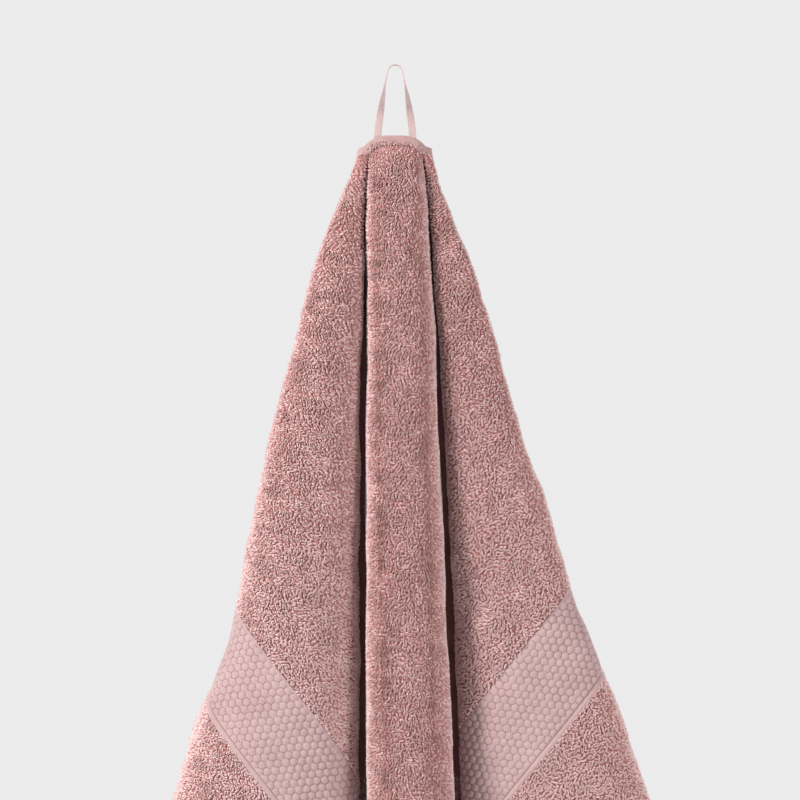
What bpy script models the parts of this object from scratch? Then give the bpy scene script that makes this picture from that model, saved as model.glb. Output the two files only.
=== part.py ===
"""A cotton bath towel hanging by its loop, in the folds that it falls into.

The towel is one rectangle of cloth, woven in zones: terry in the middle, a honeycomb border
band across each end, a strip of terry beyond it, and a turned hem all round. A tape loop is
sewn to the middle of one long side. Hung by that loop, every part of the cloth keeps its own
distance from the loop, so the folds run like the ribs of a fan from two points, the roots, one
at each side of the loop. In between stands a front pleat. A long fold is hidden behind each
side of it, then comes a broad wing, which wraps round to the back and doubles once more.

Frame: metres, +Z up, -Y towards the viewer and +Y towards the wall. The origin is where the
loop bears on a hook. The names left and right are the viewer's.
"""
import bmesh
import bpy
import numpy as np

# --- the cloth, laid flat ---------------------------------------------------------------
TOWEL_LENGTH = 1.400
TOWEL_WIDTH = 0.700
HEM_WIDTH = 0.010
BAND_START = 0.410  # from the middle of the towel to the near edge of a border band
BAND_WIDTH = 0.087
TERRY_THICK = 0.0050
BAND_THICK = 0.0030
HEM_THICK = 0.0034
SEAM_GAP = 0.0010  # between one zone and the next
TOUCH_GAP = 0.0003  # between the pieces sewn on each other

# --- the loop ---------------------------------------------------------------------------
TAPE_WIDTH = 0.0075
TAPE_THICK = 0.0012
TAPE_END = 0.0080  # length of tape sewn down on the hem
LOOP_REACH = [  # the tape's middle line down one leg: how far out, how far below the bearing
    (0.0000, -0.0006),
    (0.0046, 0.0012),
    (0.0074, 0.0072),
    (0.0095, 0.0160),
    (0.0120, 0.0300),
    (0.0142, 0.0440),
    (0.0163, 0.0580),
    (0.0175, 0.0702),
]
TACK_SIZE = (0.0090, 0.0010, 0.0030)

# --- how it hangs -----------------------------------------------------------------------
HEM_TOP = 0.0710  # top of the hem below the bearing point, in the middle
ARCH = 0.0090  # how far the hem has dropped at the roots
ROOT_OUT = 0.0260  # half the flat stretch of hem between the two roots
ROOT_Y = -0.0020
ROOT_Z = -(HEM_TOP + HEM_WIDTH + ARCH)
FULL_FOLD = 0.110  # distance from a root at which the folds have their full depth
LAYER = 0.0090  # from one layer of cloth to the next, front to back
H_BACK = 0.0080  # y of the rear layer of each hidden fold
REAR_1 = 0.0180  # y of the two rear layers
REAR_2 = REAR_1 + LAYER
REAR_ROOM = 0.0100  # each side's rear folds stay this far from the middle
WING_BASE = -0.0080  # y at which a wing starts to bulge forward
PLEAT_ROUND = 2.4  # exponents of the rounded outlines: 2 is an ellipse
WING_ROUND = 2.3
SURFACE = 0.0033  # from the cloth's middle surface to the tips of its pile
FRONT_STEP = (0.014, 0.025)  # how far the pleat steps forward below the hem, and over what depth
FRONT_LEAN = 0.070  # how fast it leans forward farther down
CROWN = (0.5, 0.6)  # depth of the pleat's rounded front: most, of its half width and of its depth
SLIT = (0.0020, 0.0050, 0.0060)  # from the pleat to the wing: at the root, gained soon, and later
ROOM = 0.0130  # between a hidden fold's end and the wing's outer edge
WRAP = (0.008, 0.020)  # radius of the turn round the wing's outer edge, and its growth
REAR_ANGLE = 0.2756  # cloth angle of the first rear layer
SECOND_REAR = 0.887  # width of the second rear layer, of the first one's

SIDES = {
    "left": {
        "sign": -1.0,
        "pleat_edge": (0.0255, 0.0),  # at the top, and how much it has grown at 0.65 m
        "wing_angle": 0.634,  # cloth angle, from straight down, at which the wing starts
        "bulge": 0.27,  # of the wing's width
        "outline": [  # depth below the bearing point, and reach of the outer edge
            (0.085, 0.030), (0.098, 0.041), (0.118, 0.049), (0.142, 0.059), (0.180, 0.074),
            (0.257, 0.0955), (0.338, 0.117), (0.438, 0.141), (0.534, 0.159), (0.595, 0.174),
            (0.652, 0.196), (0.738, 0.224), (0.860, 0.262), (1.100, 0.330),
        ],
    },
    "right": {
        "sign": 1.0,
        "pleat_edge": (0.0260, 0.0300),
        "wing_angle": 0.714,
        "bulge": 0.15,
        "outline": [
            (0.085, 0.030), (0.098, 0.040), (0.125, 0.047), (0.154, 0.059), (0.186, 0.071),
            (0.268, 0.099), (0.338, 0.1175), (0.438, 0.151), (0.524, 0.177), (0.610, 0.211),
            (0.738, 0.256), (0.860, 0.298), (1.100, 0.370),
        ],
    },
}

BLUSH = (0.56, 0.33, 0.31)
BLUSH_LIGHT = (0.62, 0.40, 0.38)


# --- the fold: a flat place on the cloth to a place in space -----------------------------
def smooth(x, start, end):
    t = np.clip((x - start) / (end - start), 0.0, 1.0)
    return t * t * (3.0 - 2.0 * t)


def soft_curve(x, points):
    """A smooth curve through points (x, y), straight beyond its ends."""
    px, py = np.array(points).T
    slope = np.gradient(py, px)
    k = np.clip(np.searchsorted(px, x) - 1, 0, len(px) - 2)
    step = px[k + 1] - px[k]
    t = np.clip((x - px[k]) / step, 0.0, 1.0)
    rise = py[k] * (1 + 2 * t) * (1 - t) ** 2 + py[k + 1] * t * t * (3 - 2 * t)
    bend = step * (slope[k] * t * (1 - t) ** 2 + slope[k + 1] * t * t * (t - 1))
    past = np.where(x > px[-1], (x - px[-1]) * slope[-1], 0.0)
    return rise + bend + past


def rounded(angle, exponent):
    """Cosine and sine of a superellipse."""
    c, s = np.cos(angle), np.sin(angle)
    power = 2.0 / exponent
    return np.sign(c) * np.abs(c) ** power, np.sign(s) * np.abs(s) ** power


def pleat_edges(r):
    grown = {}
    for name, side in SIDES.items():
        start, growth = side["pleat_edge"]
        grown[name] = start + growth * (r / 0.65) ** 0.85
    return grown


def layout(name, r):
    """The sizes of one side's folds at distance r from its root, x counted outwards."""
    side = SIDES[name]
    fold = np.minimum(1.0, r / FULL_FOLD) ** 0.8
    edges = pleat_edges(r)
    centre = side["sign"] * (edges["right"] - edges["left"]) / 2
    half = (edges["right"] + edges["left"]) / 2
    front = ROOT_Y - FRONT_STEP[0] * (1 - np.exp(-r / FRONT_STEP[1])) - FRONT_LEAN * r
    turn = LAYER / 2 * fold
    h_back = ROOT_Y + fold * (H_BACK - ROOT_Y)
    base = ROOT_Y + fold * (WING_BASE - ROOT_Y)
    drop = r.copy()
    for _ in range(8):
        reach = soft_curve(drop - ROOT_Z, side["outline"]) - SURFACE
        out = np.clip(reach - ROOT_OUT, 0, 0.8 * r)
        drop = np.sqrt(np.maximum(r * r - out * out, 0))
    edge = centre + half
    rim = edge + SLIT[0] + SLIT[1] * smooth(r, 0.0, 0.05) + SLIT[2] * smooth(r, 0.05, 0.30)
    reach = np.maximum(reach, rim + 0.004 + 0.05 * r)
    wrap = np.minimum(WRAP[0] + WRAP[1] * r, 0.8 * (REAR_1 - WING_BASE)) * fold
    crown = np.minimum(CROWN[0] * half, CROWN[1] * (h_back - front))
    plain = 1.25 * half + (h_back - front - crown) + 2.0 * LAYER * fold
    wanted = (ROOT_OUT + r * side["wing_angle"] - plain) / 2
    most = reach - ROOM * fold - turn - edge
    hidden = np.minimum(np.maximum(wanted, rim - edge + 0.15 * LAYER * fold), most)
    most = reach - wrap - turn - REAR_ROOM * smooth(r, 0.0, 0.2)
    rear_share = np.minimum(REAR_ANGLE * r, most)
    rear_in = reach - wrap - rear_share
    return {
        "centre": centre, "half": half, "edge": edge, "front": front, "crown": crown,
        "turn": turn, "h_back": h_back, "h_end": edge + turn + hidden, "rim": rim,
        "base": base, "reach": reach, "bulge": side["bulge"] * (reach - rim), "wrap": wrap,
        "rear_1": ROOT_Y + fold * (REAR_1 - ROOT_Y), "rear_in": rear_in,
        "rear_out": rear_in + rear_share * SECOND_REAR - 3.0 * turn,
    }


def line(t, a, b):
    return a + (b - a) * t


def arc(t, cx, cy, radius, start, sweep):
    """A point on an arc, its angle counted from +x towards +y."""
    angle = start + sweep * t
    return cx + radius * np.cos(angle), cy + radius * np.sin(angle)


HALF_TURN = np.pi
QUARTER = np.pi / 2


def dome(t, g):
    c, s = rounded(t * QUARTER, PLEAT_ROUND)
    return g["centre"] + g["half"] * s, g["front"] + g["crown"] * (1 - c)


def wall(t, g):
    x = g["edge"] + 0 * t
    return x, line(t, g["front"] + g["crown"], g["h_back"] - g["turn"])


def turn_out(t, g):
    return arc(t, g["edge"] + g["turn"], g["h_back"] - g["turn"], g["turn"], HALF_TURN, -QUARTER)


def hidden_back(t, g):
    return line(t, g["edge"] + g["turn"], g["h_end"]), g["h_back"] + 0 * t


def hidden_turn(t, g):
    return arc(t, g["h_end"], g["h_back"] - g["turn"], g["turn"], QUARTER, -HALF_TURN)


def hidden_front(t, g):
    return line(t, g["h_end"], g["rim"] + g["turn"]), g["h_back"] - 2 * g["turn"] + 0 * t


def rim_turn(t, g):
    return arc(t, g["rim"] + g["turn"], g["h_back"] - 3 * g["turn"], g["turn"], QUARTER, QUARTER)


def rim_side(t, g):
    start = g["h_back"] - 3 * g["turn"]
    return g["rim"] + 0 * t, line(t, start, np.minimum(g["base"], start))


def wing(t, g):
    c, s = rounded(t * HALF_TURN, WING_ROUND)
    middle, half = (g["reach"] + g["rim"]) / 2, (g["reach"] - g["rim"]) / 2
    start = np.minimum(g["base"], g["h_back"] - 3 * g["turn"])
    return middle - half * c, start - g["bulge"] * s


def outer_side(t, g):
    start = np.minimum(g["base"], g["h_back"] - 3 * g["turn"])
    return g["reach"] + 0 * t, line(t, start, np.maximum(start, g["rear_1"] - g["wrap"]))


def wrap_turn(t, g):
    start = np.minimum(g["base"], g["h_back"] - 3 * g["turn"])
    flat = np.maximum(start, g["rear_1"] - g["wrap"])
    x, y = arc(t, 0.0, 0.0, 1.0, 0.0, QUARTER)
    return g["reach"] + g["wrap"] * (x - 1), flat + (g["rear_1"] - flat) * y


def rear_first(t, g):
    return line(t, g["reach"] - g["wrap"], g["rear_in"]), g["rear_1"] + 0 * t


def rear_turn(t, g):
    x, y = arc(t, 0.0, 0.0, 1.0, -QUARTER, -HALF_TURN)
    return g["rear_in"] + g["turn"] * x, g["rear_1"] + g["turn"] * (1 + y)


def rear_second(t, g):
    return line(t, g["rear_in"], g["rear_out"]), g["rear_1"] + 2 * g["turn"] + 0 * t


PATH = [  # each stretch of the folded section, and how many facets it takes
    (dome, 7), (wall, 1), (turn_out, 3), (hidden_back, 2), (hidden_turn, 6), (hidden_front, 2),
    (rim_turn, 3), (rim_side, 1), (wing, 12), (outer_side, 1), (wrap_turn, 4), (rear_first, 2),
    (rear_turn, 6), (rear_second, 2),
]
STEPS = 24  # fine steps in each stretch, for measuring lengths
LEVELS = np.geomspace(0.002, 1.010, 260)  # distances from a root at which sections are worked out
FAN_START, FAN_FULL = 0.06, 0.14  # distances between which the ribs of the fan become straight


def fine_table(name):
    """Where each fine step of the section lies at every level, and its angle on the cloth."""
    g = {key: value[:, None] for key, value in layout(name, LEVELS).items()}
    xs, ys, marks = [], [], {}
    for stretch, _ in PATH:
        marks[stretch.__name__] = len(xs) * (STEPS + 1)
        t = np.linspace(0.0, 1.0, STEPS + 1)[None, :] + 0 * LEVELS[:, None]
        x, y = stretch(t, g)
        xs.append(x + 0 * t)
        ys.append(y + 0 * t)
    x, y = np.hstack(xs), np.hstack(ys)
    run = np.hypot(np.diff(x, axis=1), np.diff(y, axis=1))
    length = np.hstack([0 * LEVELS[:, None], np.cumsum(run, axis=1)])
    r = LEVELS[:, None]
    at = {key: length[:, i:i + 1] for key, i in marks.items()}
    end = length[:, -1:]
    start, rim, side = at["hidden_back"], at["rim_side"], at["outer_side"]
    true = (length - ROOT_OUT) / r
    angle_start = (start - ROOT_OUT) / r
    angle_rim = SIDES[name]["wing_angle"] + 0 * r
    angle_side = angle_rim + (side - rim) / r

    def between(a, b, angle_a, angle_b):
        return angle_a + (length - a) / (b - a) * (angle_b - angle_a)

    far = np.where(length < start, true, between(start, rim, angle_start, angle_rim))
    far = np.where(length > rim, between(rim, side, angle_rim, angle_side), far)
    far = np.where(length > side, between(side, end, angle_side, QUARTER), far)
    near = np.where(length < start, true, between(start, end, angle_start, QUARTER))
    share = smooth(r, FAN_START, FAN_FULL)
    angle = near + (far - near) * share
    return x, y, length, angle


def placed(name, x, y, length, r):
    """From the section's plan to space: each point keeps its distance r from the hem."""
    along = np.minimum(length, ROOT_OUT)
    top = ROOT_Z + ARCH * (1 - (along / ROOT_OUT) ** 2)
    flat = np.maximum(r * r - (x - along) ** 2 - (y - ROOT_Y) ** 2, 0.04 * r * r)
    return np.stack([SIDES[name]["sign"] * x, y, top - np.sqrt(flat)], axis=-1)


EAR_SLANT = (0.60, 0.45, 0.66)  # how the hem stands where it turns the corner at a root
EAR_END = 0.060  # and how far along it has come level with the cloth


class Fold:
    """One side of the folded towel: its section at every level, read at a fine column."""

    def __init__(self, name):
        self.name = name
        self.x, self.y, self.length, self.angle = fine_table(name)
        self.columns = []
        for i, (_, facets) in enumerate(PATH):
            steps = np.round(np.linspace(0, STEPS, facets + 1)).astype(int)
            self.columns.extend(i * (STEPS + 1) + steps[(1 if i else 0):])

    def read(self, table, column, r):
        """A table's value between its columns and between its levels."""
        level = np.interp(r, LEVELS, np.arange(len(LEVELS)))
        low, left = int(min(level, len(LEVELS) - 2)), int(min(column, table.shape[1] - 2))
        down, along = level - low, column - left
        upper = table[low, left] * (1 - along) + table[low, left + 1] * along
        lower = table[low + 1, left] * (1 - along) + table[low + 1, left + 1] * along
        return upper * (1 - down) + lower * down

    def point(self, column, r):
        values = [self.read(table, column, r) for table in (self.x, self.y, self.length)]
        return placed(self.name, *values, r)

    def column_at(self, u, w):
        """The column that passes through a flat place, u out from the root and w down."""
        r, angle = float(np.hypot(u, w)), float(np.arctan2(u, w))
        level = int(np.clip(np.searchsorted(LEVELS, r), 1, len(LEVELS) - 1))
        count = np.arange(self.angle.shape[1])
        pair = [np.interp(angle, self.angle[i], count) for i in (level - 1, level)]
        share = (r - LEVELS[level - 1]) / (LEVELS[level] - LEVELS[level - 1])
        return float(pair[0] + (pair[1] - pair[0]) * np.clip(share, 0, 1))

    def reach(self, column, u_limit, w_limit):
        """How far down the column the cloth is still within both limits."""
        angle = np.array([self.read(self.angle, column, r) for r in LEVELS])
        across = LEVELS * np.sin(np.maximum(angle, 0))
        down = LEVELS * np.cos(np.maximum(angle, 0))
        limits = [LEVELS[-1]]
        for values, limit in ((across, u_limit), (down, w_limit)):
            if values[-1] > limit:
                after = int(np.nonzero(values <= limit)[0][-1])
                share = (limit - values[after]) / (values[after + 1] - values[after])
                limits.append(LEVELS[after] + share * (LEVELS[after + 1] - LEVELS[after]))
        return min(limits)

    def edge_point(self, u, out):
        """A place on the top hem, u along the long edge from the root and out beyond it."""
        last = self.angle.shape[1] - 1
        sign = SIDES[self.name]["sign"]
        r = max(u, LEVELS[0])
        edge = self.point(last, r) if u > LEVELS[0] else np.array([sign * ROOT_OUT, ROOT_Y, ROOT_Z])
        level = self.point(last, r) - self.point(last - STEPS / 2, r)
        level[2] = 0.0
        level /= max(np.linalg.norm(level), 1e-9)
        slanted = np.array([sign * EAR_SLANT[0], EAR_SLANT[1], EAR_SLANT[2]])
        share = float(smooth(u, 0.0, EAR_END))
        mixed = slanted * (1 - share) + level * share
        return edge + out * mixed / np.linalg.norm(mixed)


# --- closed cloth from a grid of middle-surface points -----------------------------------
def unit(v):
    return v / np.maximum(np.linalg.norm(v, axis=-1, keepdims=True), 1e-9)


def cloth_solid(name, middle, thickness, colour, material):
    """A closed sheet: the grid's points moved half the thickness to each side and joined."""
    rows, cols = middle.shape[:2]
    along = np.gradient(middle, axis=1)
    down = np.gradient(middle, axis=0)
    normal = unit(np.cross(along, down))
    half = 0.5 * thickness * np.ones((rows, cols))
    front = middle + normal * half[..., None]
    back = middle - normal * half[..., None]
    mesh = bmesh.new()
    sides = [[[mesh.verts.new(p) for p in row] for row in grid] for grid in (front, back)]
    for side, grid in enumerate(sides):
        for i in range(rows - 1):
            for j in range(cols - 1):
                a, b = grid[i][j], grid[i][j + 1]
                c, d = grid[i + 1][j + 1], grid[i + 1][j]
                mesh.faces.new((a, b, c, d) if side == 0 else (d, c, b, a))
    rim = [(0, j) for j in range(cols)] + [(i, cols - 1) for i in range(1, rows)]
    rim += [(rows - 1, j) for j in range(cols - 2, -1, -1)]
    rim += [(i, 0) for i in range(rows - 2, 0, -1)]
    for (i, j), (k, m) in zip(rim, rim[1:] + rim[:1], strict=True):
        mesh.faces.new((sides[0][k][m], sides[0][i][j], sides[1][i][j], sides[1][k][m]))
    bmesh.ops.triangulate(mesh, faces=mesh.faces[:])
    bmesh.ops.recalc_face_normals(mesh, faces=mesh.faces[:])
    return finish_object(name, mesh, colour, material)


def finish_object(name, mesh, colour, material):
    data = bpy.data.meshes.new(name)
    mesh.to_mesh(data)
    mesh.free()
    data.shade_smooth()
    data.set_sharp_from_angle(angle=np.radians(50))
    data.materials.append(cotton(material, colour))
    thing = bpy.data.objects.new(name, data)
    bpy.context.scene.collection.objects.link(thing)
    return thing


def cotton(name, colour):
    found = bpy.data.materials.get(name)
    if found:
        return found
    material = bpy.data.materials.new(name)
    material.use_nodes = True
    shader = material.node_tree.nodes["Principled BSDF"]
    shader.inputs["Base Color"].default_value = (*colour, 1.0)
    shader.inputs["Roughness"].default_value = 0.95
    shader.inputs["Metallic"].default_value = 0.0
    return material


def clear_scene():
    for thing in list(bpy.data.objects):
        bpy.data.objects.remove(thing)


# --- the zones of the towel --------------------------------------------------------------
INNER_U = BAND_START - ROOT_OUT  # distances from a root, on the flat cloth
OUTER_U = INNER_U + BAND_WIDTH
END_U = TOWEL_LENGTH / 2 - HEM_WIDTH - ROOT_OUT
LAST_U = END_U + HEM_WIDTH
LOW_W = TOWEL_WIDTH - 2 * HEM_WIDTH
LAST_W = LOW_W + HEM_WIDTH
HALF_GAP = SEAM_GAP / 2
EDGE_GAP = 0.0018  # between the long top hem and the cloth beside it, which curves
START_EDGE = 0.012  # shortest side of a zone that narrows to a point
CLOSE_COLUMNS = 1.0  # columns this near a zone's corner, in fine steps, make way for it
FIELD_ROWS = [0, 0.01, 0.025, 0.05, 0.085, 0.12, 0.16, 0.21, 0.28, 0.38, 0.5, 0.66, 0.83, 1.0]
HEM_TOP_STEPS = [0.0, 0.3, 0.6, 0.85]
HEM_EDGE_STEPS = [0, 0.004, 0.01, 0.02, 0.034, 0.055, 0.08, *np.arange(0.11, END_U - 0.03, 0.03)]
HEM_THINNER = 0.6  # how much the hem is squeezed just beyond a root
HEM_EDGE_STEPS += [END_U - HALF_GAP]
FIELD_TOP = 0.0015  # the pile starts this far below the hem, and lower beside the roots
ROOT_ROOM = 0.0080


def zone_columns(fold):
    """The fold's columns, with those that pass through the corners of the zones put in."""
    low = LOW_W - HALF_GAP
    corners = [(INNER_U - HALF_GAP, low), (OUTER_U - HALF_GAP, low), (END_U - HALF_GAP, low)]
    corners += [(INNER_U + HALF_GAP + START_EDGE, low), (OUTER_U + HALF_GAP + START_EDGE, low)]
    corners += [(END_U, LAST_W)]
    fixed = [fold.column_at(u, w) for u, w in corners]
    kept = [float(c) for c in fold.columns if min(abs(c - f) for f in fixed) > CLOSE_COLUMNS]
    return sorted(kept + fixed)


def both_sides(build):
    """One grid across the whole towel from the same columns of its left and its right side."""
    left, right = build("left"), build("right")
    return np.concatenate([left[:, :0:-1], right], axis=1)


def terry_field():
    """The main stretch of terry, between the two bands and inside the long hems."""
    def places(name):
        fold = FOLDS[name]
        rows = []
        for column in COLUMNS[name]:
            bottom = fold.reach(column, INNER_U - HALF_GAP, LOW_W - HALF_GAP)
            length = fold.read(fold.length, column, ROOT_ROOM)
            lower = float(smooth(length, 0.5 * ROOT_OUT, ROOT_OUT))
            top = FIELD_TOP + (ROOT_ROOM - FIELD_TOP) * lower
            rows.append([(column, length, top + part * (bottom - top)) for part in FIELD_ROWS])
        return np.array(rows).transpose(1, 0, 2)

    def middle(name):
        return np.array([[FOLDS[name].point(c, r) for c, _, r in row] for row in places(name)])

    def thickness(name):
        _, length, r = places(name).transpose(2, 0, 1)
        plain = 0.6 * np.maximum(0.0, 1 - (length / ROOT_OUT) ** 2)
        return TERRY_THICK * np.maximum(np.minimum(1.0, (r / FULL_FOLD) ** 0.8), plain)

    cloth_solid("terry_field", both_sides(middle), both_sides(thickness), BLUSH, "terry_cotton")


def cross_zone(kind, name, near_u, far_u, thickness, colour, material, rows):
    """A zone that runs from the top hem to the bottom hem, across one end of the towel."""
    fold = FOLDS[name]
    near, far, low = near_u + HALF_GAP, far_u - HALF_GAP, LOW_W - HALF_GAP
    start = fold.column_at(near + START_EDGE, low) - 1e-6
    grid = []
    for column in (c for c in COLUMNS[name] if c >= start):
        first, last = fold.reach(column, near, np.inf), fold.reach(column, far, low)
        grid.append([fold.point(column, r) for r in np.linspace(first, last, rows + 1)])
    middle = np.array(grid).transpose(1, 0, 2)
    if name == "left":
        middle = middle[:, ::-1]
    cloth_solid(f"{kind}_{name}", middle, thickness, colour, material)


def long_hem_top():
    """The turned hem of the side that carries the loop, from end to end."""
    depth = [EDGE_GAP, HEM_WIDTH / 2, HEM_WIDTH]

    def middle(name):
        sign = SIDES[name]["sign"]
        points = []
        for part in HEM_TOP_STEPS:
            top = ROOT_Z + ARCH * (1 - part**2)
            points.append([(sign * part * ROOT_OUT, ROOT_Y, top + d) for d in depth])
        points += [[FOLDS[name].edge_point(u, d) for d in depth] for u in HEM_EDGE_STEPS]
        return np.array(points).transpose(1, 0, 2)

    def thickness(_):
        u = np.array([0.0] * len(HEM_TOP_STEPS) + HEM_EDGE_STEPS)
        thin = smooth(u, 0.0, 0.012) * (1 - smooth(u, 0.04, FULL_FOLD))
        return np.tile(HEM_THICK * (1 - HEM_THINNER * thin), (len(depth), 1))

    cloth_solid("long_hem_top", both_sides(middle), both_sides(thickness), BLUSH_LIGHT, "plain_cotton")


def long_hem_bottom():
    """The turned hem of the low side, from end to end, round every fold."""
    rows = [LOW_W + HALF_GAP, LAST_W]

    def middle(name):
        fold = FOLDS[name]
        last = fold.column_at(END_U, LAST_W)
        points = [[fold.point(c, fold.reach(c, np.inf, w)) for w in rows]
                  for c in COLUMNS[name] if c < last - CLOSE_COLUMNS]
        ends = [(fold.column_at(END_U - HALF_GAP, w), np.hypot(END_U - HALF_GAP, w)) for w in rows]
        points.append([fold.point(c, r) for c, r in ends])
        return np.array(points).transpose(1, 0, 2)

    cloth_solid("long_hem_bottom", both_sides(middle), HEM_THICK, BLUSH_LIGHT, "plain_cotton")


def end_hem(name):
    """The turned hem of one short end, corner to corner."""
    fold = FOLDS[name]
    rows = [END_U + HALF_GAP, LAST_U]
    first = fold.column_at(LAST_U, LAST_W) + CLOSE_COLUMNS
    points = [[fold.point(fold.column_at(u, LAST_W), np.hypot(u, LAST_W)) for u in rows]]
    columns = [c for c in COLUMNS[name] if c > first]
    points += [[fold.point(c, fold.reach(c, u, np.inf)) for u in rows] for c in columns]
    points += [[fold.edge_point(u, HEM_WIDTH) for u in rows]]
    middle = np.array(points).transpose(1, 0, 2)
    if name == "left":
        middle = middle[:, ::-1]
    cloth_solid(f"end_hem_{name}", middle, HEM_THICK, BLUSH_LIGHT, "plain_cotton")


# --- the loop -----------------------------------------------------------------------------
LOOP_Y = ROOT_Y + HEM_THICK / 2 + TOUCH_GAP + TAPE_THICK / 2
HINGE_Z = -HEM_TOP + TOUCH_GAP
HINGE_ROOM = 0.0005
LOOP_STEPS = 15
TAPE_CORNERS = ((1, 1), (-1, 1), (-1, -1), (1, -1))
TACK_AT = 0.55  # down the sewn end, where the bar tack's middle is


def loop_line():
    """The tape's middle line and its twist, from the left end over the hook to the right end."""
    reach, depth = np.array(LOOP_REACH).T
    run = np.concatenate([[0], np.cumsum(np.hypot(np.diff(reach), np.diff(depth)))])
    t = np.linspace(0, run[-1], LOOP_STEPS)
    out = soft_curve(t, list(zip(run, reach, strict=True)))
    down = soft_curve(t, list(zip(run, depth, strict=True)))
    twist = QUARTER * (1 - smooth(t / run[-1], 0.15, 0.95))
    y = LOOP_Y * smooth(t / run[-1], 0.1, 1.0)
    return out, y, -down, twist


def hanging_loop():
    """A flat tape: on edge where it lies over the hook, turning flat where it meets the hem."""
    out, y, z, twist = loop_line()
    points = np.stack([np.r_[-out[:0:-1], out], np.r_[y[:0:-1], y], np.r_[z[:0:-1], z]], axis=1)
    turn = np.r_[twist[:0:-1], twist]
    along = unit(np.gradient(points, axis=0))
    across = np.stack([np.cos(turn), np.sin(turn), 0 * turn], axis=1)
    across = unit(across - along * (across * along).sum(1, keepdims=True))
    normal = unit(np.cross(along, across))
    mesh = bmesh.new()
    rings = []
    for p, a, n in zip(points, across, normal, strict=True):
        w, t = a * TAPE_WIDTH / 2, n * TAPE_THICK / 2
        rings.append([mesh.verts.new(p + i * w + j * t) for i, j in TAPE_CORNERS])
    for one, two in zip(rings, rings[1:], strict=False):
        for k in range(4):
            m = (k + 1) % 4
            mesh.faces.new((one[k], one[m], two[m], two[k]))
    mesh.faces.new(rings[0][::-1])
    mesh.faces.new(rings[-1])
    bmesh.ops.triangulate(mesh, faces=mesh.faces[:])
    bmesh.ops.recalc_face_normals(mesh, faces=mesh.faces[:])
    return finish_object("hanging_loop", mesh, BLUSH_LIGHT, "woven_tape")


def block(name, centre, size, colour, material, bevel):
    """A small sewn piece: a box with its edges rounded."""
    mesh = bmesh.new()
    bmesh.ops.create_cube(mesh, size=1.0)
    for vert in mesh.verts:
        vert.co = [c + s * v for c, s, v in zip(centre, size, vert.co, strict=True)]
    bmesh.ops.bevel(mesh, geom=mesh.edges[:], offset=bevel, segments=1, affect="EDGES")
    return finish_object(name, mesh, colour, material)


def loop_ends():
    """The ends of the tape, sewn flat on the back of the hem, and the bar tack over each."""
    top = HINGE_Z - HINGE_ROOM
    for name, side in SIDES.items():
        x = side["sign"] * LOOP_REACH[-1][0]
        size = (TAPE_WIDTH, TAPE_THICK, TAPE_END)
        centre = (x, LOOP_Y, top - TAPE_END / 2)
        block(f"loop_end_{name}", centre, size, BLUSH_LIGHT, "woven_tape", 0.0002)
        tack_y = LOOP_Y + TAPE_THICK / 2 + TOUCH_GAP + TACK_SIZE[1] / 2
        centre = (x, tack_y, top - TAPE_END * TACK_AT)
        block(f"bar_tack_{name}", centre, TACK_SIZE, BLUSH_LIGHT, "sewing_thread", 0.0003)


clear_scene()
FOLDS = {name: Fold(name) for name in SIDES}
COLUMNS = {name: zone_columns(fold) for name, fold in FOLDS.items()}
terry_field()
for end in SIDES:
    cross_zone("border_band", end, INNER_U, OUTER_U, BAND_THICK, BLUSH_LIGHT, "honeycomb_cotton", 3)
    cross_zone("end_terry", end, OUTER_U, END_U, TERRY_THICK, BLUSH, "terry_cotton", 5)
    end_hem(end)
long_hem_top()
long_hem_bottom()
hanging_loop()
loop_ends()
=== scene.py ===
# %% [markdown]
# The frame is the measured model of the towel: one closed solid for each woven zone, each hem,
# the tape loop and its sewn ends. Here every one of them gets its real surface. The frame's box
# is kept.

import bpy
import numpy as np
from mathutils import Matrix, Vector


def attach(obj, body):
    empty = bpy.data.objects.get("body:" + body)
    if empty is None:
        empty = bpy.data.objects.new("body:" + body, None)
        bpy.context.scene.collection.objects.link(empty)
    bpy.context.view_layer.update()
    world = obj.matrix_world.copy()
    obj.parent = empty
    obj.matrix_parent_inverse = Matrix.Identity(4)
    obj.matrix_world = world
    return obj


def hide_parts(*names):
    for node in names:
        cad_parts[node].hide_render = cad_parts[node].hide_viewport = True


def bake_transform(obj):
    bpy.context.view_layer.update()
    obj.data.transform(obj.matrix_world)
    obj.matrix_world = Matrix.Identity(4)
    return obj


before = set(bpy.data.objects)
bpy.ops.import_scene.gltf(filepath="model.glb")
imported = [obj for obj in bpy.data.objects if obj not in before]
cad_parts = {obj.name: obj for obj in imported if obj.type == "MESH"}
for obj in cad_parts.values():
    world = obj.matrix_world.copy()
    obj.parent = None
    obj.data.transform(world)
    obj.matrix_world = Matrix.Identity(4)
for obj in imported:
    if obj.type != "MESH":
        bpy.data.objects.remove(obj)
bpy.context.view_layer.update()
rng = np.random.default_rng(20)

# %% [markdown]
# A real towel is woven as one length: terry, a flat border band at each end, a little terry
# again, and hems turned over on all four sides. All its detail is laid out here on the flat
# cloth, x along the length from the middle and w down from the inner edge of the top hem, and
# only then folded, because that keeps each loop, cell and stitch at its woven size. A cloth
# simulation could hang the sheet instead, but it wouldn't land in the measured frame's folds.

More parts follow.
